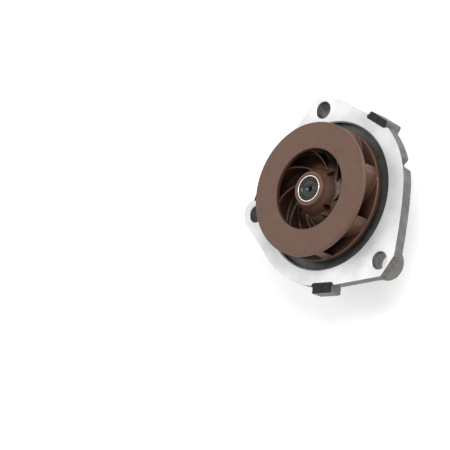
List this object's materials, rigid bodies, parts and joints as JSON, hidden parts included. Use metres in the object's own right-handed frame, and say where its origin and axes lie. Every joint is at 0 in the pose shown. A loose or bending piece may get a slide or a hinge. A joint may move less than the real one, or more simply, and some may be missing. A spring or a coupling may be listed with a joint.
{
  "type": "water pump",
  "caption": "Coolant pump with a lobed cast flange, a closed backward-curved impeller, a sprung shaft seal, a ball bearing shaft and a toothed belt pulley.",
  "frame": {"origin": "on the shaft axis, in the plane of the pulley's outer face and the shaft's tail end, which the pump stands on", "axes": "+Z along the shaft towards the impeller, +Y towards the first bolt hole, +X to the right of it seen from the impeller"},
  "size_m": [0.102, 0.1048, 0.0475],
  "materials": {
    "cast_aluminium": "as-cast grey sides and back, machined satin mounting face",
    "brown_plastic": "moulded brown phenolic-like plastic, satin",
    "sintered_steel": "sintered steel, matt grey",
    "shaft_steel": "ground steel",
    "insert_metal": "bright turned ring",
    "bearing_steel": "hardened and ground steel",
    "stainless": "pressed stainless sheet and drawn wire",
    "carbon": "lapped carbon",
    "ceramic": "dense ceramic",
    "nylon": "moulded nylon",
    "black_rubber": "moulded rubber"
  },
  "bodies": {
    "housing": {"pump_housing": "cast_aluminium", "bearing_outer_ring": "bearing_steel", "bearing_seal_front": "black_rubber", "bearing_seal_rear": "black_rubber", "seal_cup": "stainless", "seal_bellows": "black_rubber", "seal_spring": "stainless", "seal_carbon_ring": "carbon"},
    "rotor": {"pump_shaft": "shaft_steel", "water_slinger": "nylon", "seal_mating_ring": "ceramic", "seal_ring_boot": "black_rubber", "impeller": "brown_plastic", "impeller_hub": "brown_plastic", "impeller_shroud": "brown_plastic", "impeller_insert": "insert_metal", "toothed_pulley": "sintered_steel"},
    "front_ball_row": {"ball_cage_front": "nylon", "ball_front_1": "bearing_steel", "ball_front_2": "bearing_steel", "ball_front_3": "bearing_steel", "ball_front_4": "bearing_steel", "ball_front_5": "bearing_steel", "ball_front_6": "bearing_steel", "ball_front_7": "bearing_steel", "ball_front_8": "bearing_steel"},
    "rear_ball_row": {"ball_cage_rear": "nylon", "ball_rear_1": "bearing_steel", "ball_rear_2": "bearing_steel", "ball_rear_3": "bearing_steel", "ball_rear_4": "bearing_steel", "ball_rear_5": "bearing_steel", "ball_rear_6": "bearing_steel", "ball_rear_7": "bearing_steel", "ball_rear_8": "bearing_steel"}
  },
  "joints": [
    {"name": "shaft_spin", "type": "hinge", "parent": "housing", "child": "rotor", "pos_m": [0, 0, 0.0165], "axis": [0, 0, 1], "continuous": true},
    {"name": "front_row_roll", "type": "hinge", "parent": "housing", "child": "front_ball_row", "pos_m": [0, 0, 0.0204], "axis": [0, 0, 1], "continuous": true},
    {"name": "rear_row_roll", "type": "hinge", "parent": "housing", "child": "rear_ball_row", "pos_m": [0, 0, 0.0125], "axis": [0, 0, 1], "continuous": true}
  ],
  "couplings": [
    {"joint": "front_row_roll", "follows": "shaft_spin", "ratio": 0.375},
    {"joint": "rear_row_roll", "follows": "shaft_spin", "ratio": 0.375}
  ]
}
